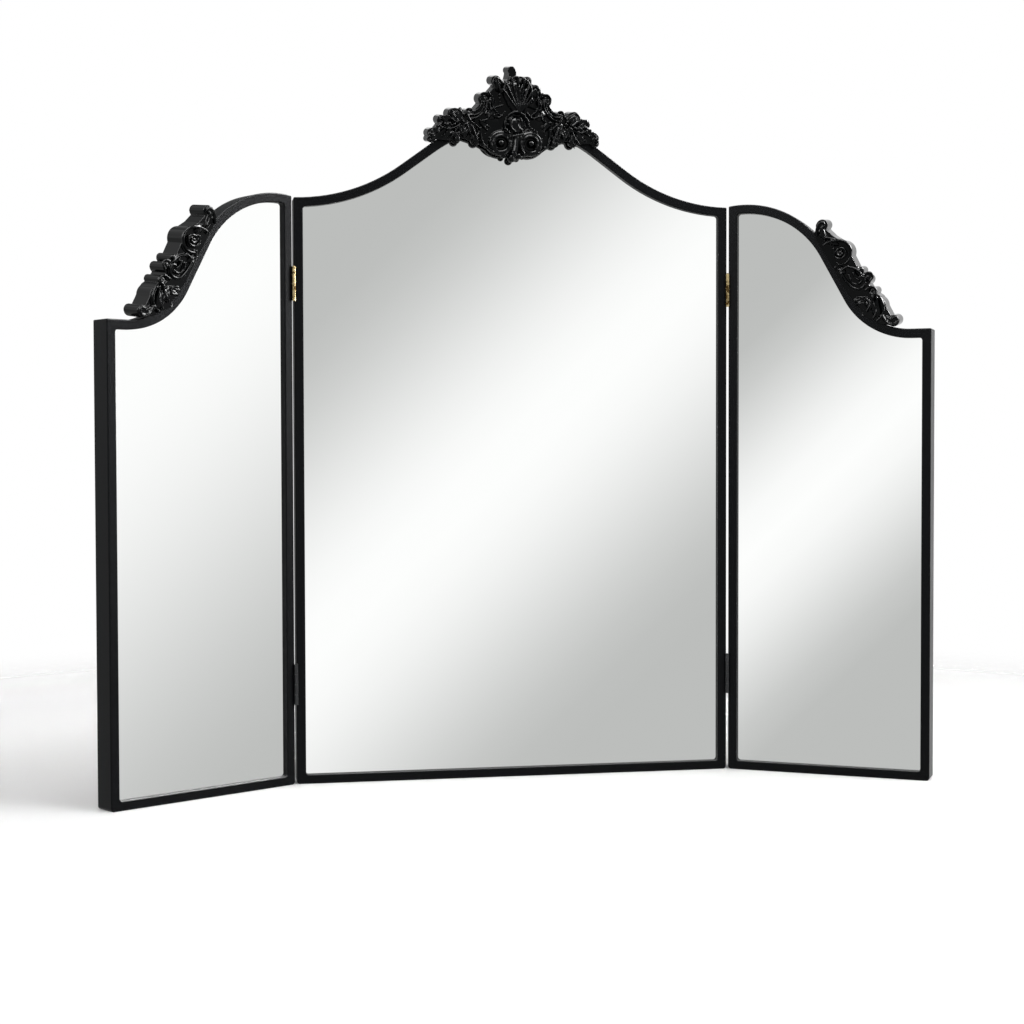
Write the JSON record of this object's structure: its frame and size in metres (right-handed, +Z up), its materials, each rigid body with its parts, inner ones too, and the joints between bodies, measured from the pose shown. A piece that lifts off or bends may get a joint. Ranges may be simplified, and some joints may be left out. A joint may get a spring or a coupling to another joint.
{
  "type": "trifold vanity mirror",
  "caption": "Arched tabletop mirror in a black frame, with folding side mirrors on butt hinges and carved scroll mouldings on the crown and shoulders.",
  "frame": {"origin": "middle of the underside of the centre panel's foot rail, at half the depth of its frame", "axes": "+X to the right of someone looking into the mirror, +Y away from them towards the back, +Z up"},
  "size_m": [1.13, 0.1826, 0.9916],
  "materials": {
    "black_lacquered_wood": "black satin lacquer, slightly lighter along the eased edges",
    "black_resin": "cast resin carving under the same black lacquer, glossier on the raised beads",
    "mirror_glass": "clear float glass silvered on the back",
    "backing_board": "raw hardboard",
    "brass_hinge": "bright brass plate, satin",
    "black_hinge": "steel painted black with the frame",
    "brass_screw": "bright brass",
    "black_screw": "blackened steel",
    "zinc_steel": "zinc plated"
  },
  "bodies": {
    "centre_panel": {"centre_back_board": "backing_board", "centre_board_clips": "zinc_steel", "centre_clip_screws": "zinc_steel", "centre_foot_rail": "black_lacquered_wood", "centre_head_rail": "black_lacquered_wood", "centre_left_stile": "black_lacquered_wood", "centre_mirror_glass": "mirror_glass", "centre_mitre_nails": "zinc_steel", "centre_right_stile": "black_lacquered_wood", "crest_carving": "black_resin", "crest_screws": "zinc_steel", "lower_left_hinge_centre_leaf": "black_hinge", "lower_left_hinge_centre_screws": "black_screw", "lower_left_hinge_pin": "black_hinge", "lower_right_hinge_centre_leaf": "black_hinge", "lower_right_hinge_centre_screws": "black_screw", "lower_right_hinge_pin": "black_hinge", "upper_left_hinge_centre_leaf": "brass_hinge", "upper_left_hinge_centre_screws": "brass_screw", "upper_left_hinge_pin": "brass_hinge", "upper_right_hinge_centre_leaf": "brass_hinge", "upper_right_hinge_centre_screws": "brass_screw", "upper_right_hinge_pin": "brass_hinge"},
    "left_wing": {"left_wing_back_board": "backing_board", "left_wing_board_clips": "zinc_steel", "left_wing_carving": "black_resin", "left_wing_carving_screws": "zinc_steel", "left_wing_clip_screws": "zinc_steel", "left_wing_foot_rail": "black_lacquered_wood", "left_wing_head_rail": "black_lacquered_wood", "left_wing_hinge_stile": "black_lacquered_wood", "left_wing_mirror_glass": "mirror_glass", "left_wing_mitre_nails": "zinc_steel", "left_wing_outer_stile": "black_lacquered_wood", "lower_left_hinge_wing_leaf": "black_hinge", "lower_left_hinge_wing_screws": "black_screw", "upper_left_hinge_wing_leaf": "brass_hinge", "upper_left_hinge_wing_screws": "brass_screw"},
    "right_wing": {"lower_right_hinge_wing_leaf": "black_hinge", "lower_right_hinge_wing_screws": "black_screw", "right_wing_back_board": "backing_board", "right_wing_board_clips": "zinc_steel", "right_wing_carving": "black_resin", "right_wing_carving_screws": "zinc_steel", "right_wing_clip_screws": "zinc_steel", "right_wing_foot_rail": "black_lacquered_wood", "right_wing_head_rail": "black_lacquered_wood", "right_wing_hinge_stile": "black_lacquered_wood", "right_wing_mirror_glass": "mirror_glass", "right_wing_mitre_nails": "zinc_steel", "right_wing_outer_stile": "black_lacquered_wood", "upper_right_hinge_wing_leaf": "brass_hinge", "upper_right_hinge_wing_screws": "brass_screw"}
  },
  "joints": [
    {"name": "right_wing_hinge", "type": "hinge", "parent": "centre_panel", "child": "right_wing", "pos_m": [0.3054, -0.0194, 0], "axis": [0, 0, -1], "range_deg": [-31.9, 148]},
    {"name": "left_wing_hinge", "type": "hinge", "parent": "centre_panel", "child": "left_wing", "pos_m": [-0.3054, -0.0194, 0], "axis": [0, 0, 1], "range_deg": [-31.9, 148]}
  ]
}
